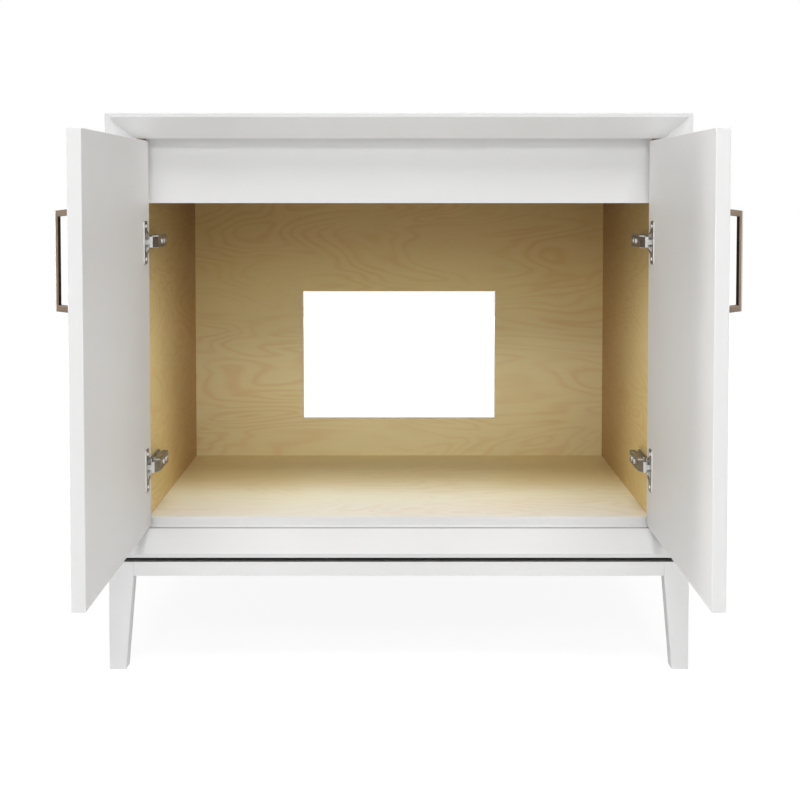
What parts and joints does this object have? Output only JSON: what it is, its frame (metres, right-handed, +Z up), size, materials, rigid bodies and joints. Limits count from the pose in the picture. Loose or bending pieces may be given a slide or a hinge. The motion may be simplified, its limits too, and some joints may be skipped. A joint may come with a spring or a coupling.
{
  "type": "single sink vanity base cabinet",
  "caption": "White bathroom vanity base on tapered legs, with a bevelled front frame, open plywood inside, plumbing cut-out and swinging doors on concealed hinges.",
  "frame": {"origin": "on the floor, under the middle of the plan of the vanity with both doors open at a right angle", "axes": "+Z up; -Y towards the person who opens the doors, +Y towards the wall; +X to the right as seen from the front"},
  "size_m": [0.9144, 0.902, 0.8763],
  "materials": {
    "white_lacquer": "satin white lacquer",
    "birch_ply": "clear satin coat on birch plywood",
    "reveal_stain": "flat dark stain",
    "dowel_beech": "bare beech",
    "hinge_steel": "satin nickel plate",
    "screw_steel": "zinc plate",
    "pull_bronze": "brushed dark bronze"
  },
  "bodies": {
    "cabinet": {"back_panel": "birch_ply", "base_dowels": "dowel_beech", "base_rail_front": "white_lacquer", "base_rail_left": "white_lacquer", "base_rail_rear": "white_lacquer", "base_rail_right": "white_lacquer", "base_screws": "screw_steel", "bottom_front_rail": "birch_ply", "bottom_rear_rail": "birch_ply", "carcass_floor": "birch_ply", "carcass_side_left": "birch_ply", "carcass_side_right": "birch_ply", "corner_blocks": "birch_ply", "floor_edge_band": "white_lacquer", "frame_bottom_rail": "white_lacquer", "frame_stile_left": "white_lacquer", "frame_stile_right": "white_lacquer", "frame_top_rail": "white_lacquer", "hinge_arm_left_lower": "hinge_steel", "hinge_arm_left_upper": "hinge_steel", "hinge_arm_right_lower": "hinge_steel", "hinge_arm_right_upper": "hinge_steel", "hinge_arm_screws": "screw_steel", "hinge_plate_left_lower": "hinge_steel", "hinge_plate_left_upper": "hinge_steel", "hinge_plate_right_lower": "hinge_steel", "hinge_plate_right_upper": "hinge_steel", "hinge_plate_screws": "screw_steel", "leg_front_left": "white_lacquer", "leg_front_right": "white_lacquer", "leg_rear_left": "white_lacquer", "leg_rear_right": "white_lacquer", "reveal_panel": "reveal_stain", "side_batten_lower_left": "birch_ply", "side_batten_lower_right": "birch_ply", "side_batten_rear_left": "birch_ply", "side_batten_rear_right": "birch_ply", "side_batten_upper_left": "birch_ply", "side_batten_upper_right": "birch_ply", "side_panel_left": "white_lacquer", "side_panel_right": "white_lacquer", "top_front_rail": "white_lacquer", "wall_rail": "birch_ply"},
    "left_door": {"cup_screws_left": "screw_steel", "door_left": "white_lacquer", "hinge_cup_left_lower": "hinge_steel", "hinge_cup_left_upper": "hinge_steel", "hinge_pins_left": "hinge_steel", "pull_left": "pull_bronze", "pull_screws_left": "screw_steel"},
    "right_door": {"cup_screws_right": "screw_steel", "door_right": "white_lacquer", "hinge_cup_right_lower": "hinge_steel", "hinge_cup_right_upper": "hinge_steel", "hinge_pins_right": "hinge_steel", "pull_right": "pull_bronze", "pull_screws_right": "screw_steel"}
  },
  "joints": [
    {"name": "left_door_swing", "type": "hinge", "parent": "cabinet", "child": "left_door", "pos_m": [-0.4107, -0.0418, 0.4935], "axis": [0, 0, -1], "range_deg": [-90, 5]},
    {"name": "right_door_swing", "type": "hinge", "parent": "cabinet", "child": "right_door", "pos_m": [0.4107, -0.0418, 0.4935], "axis": [0, 0, 1], "range_deg": [-90, 5]}
  ]
}
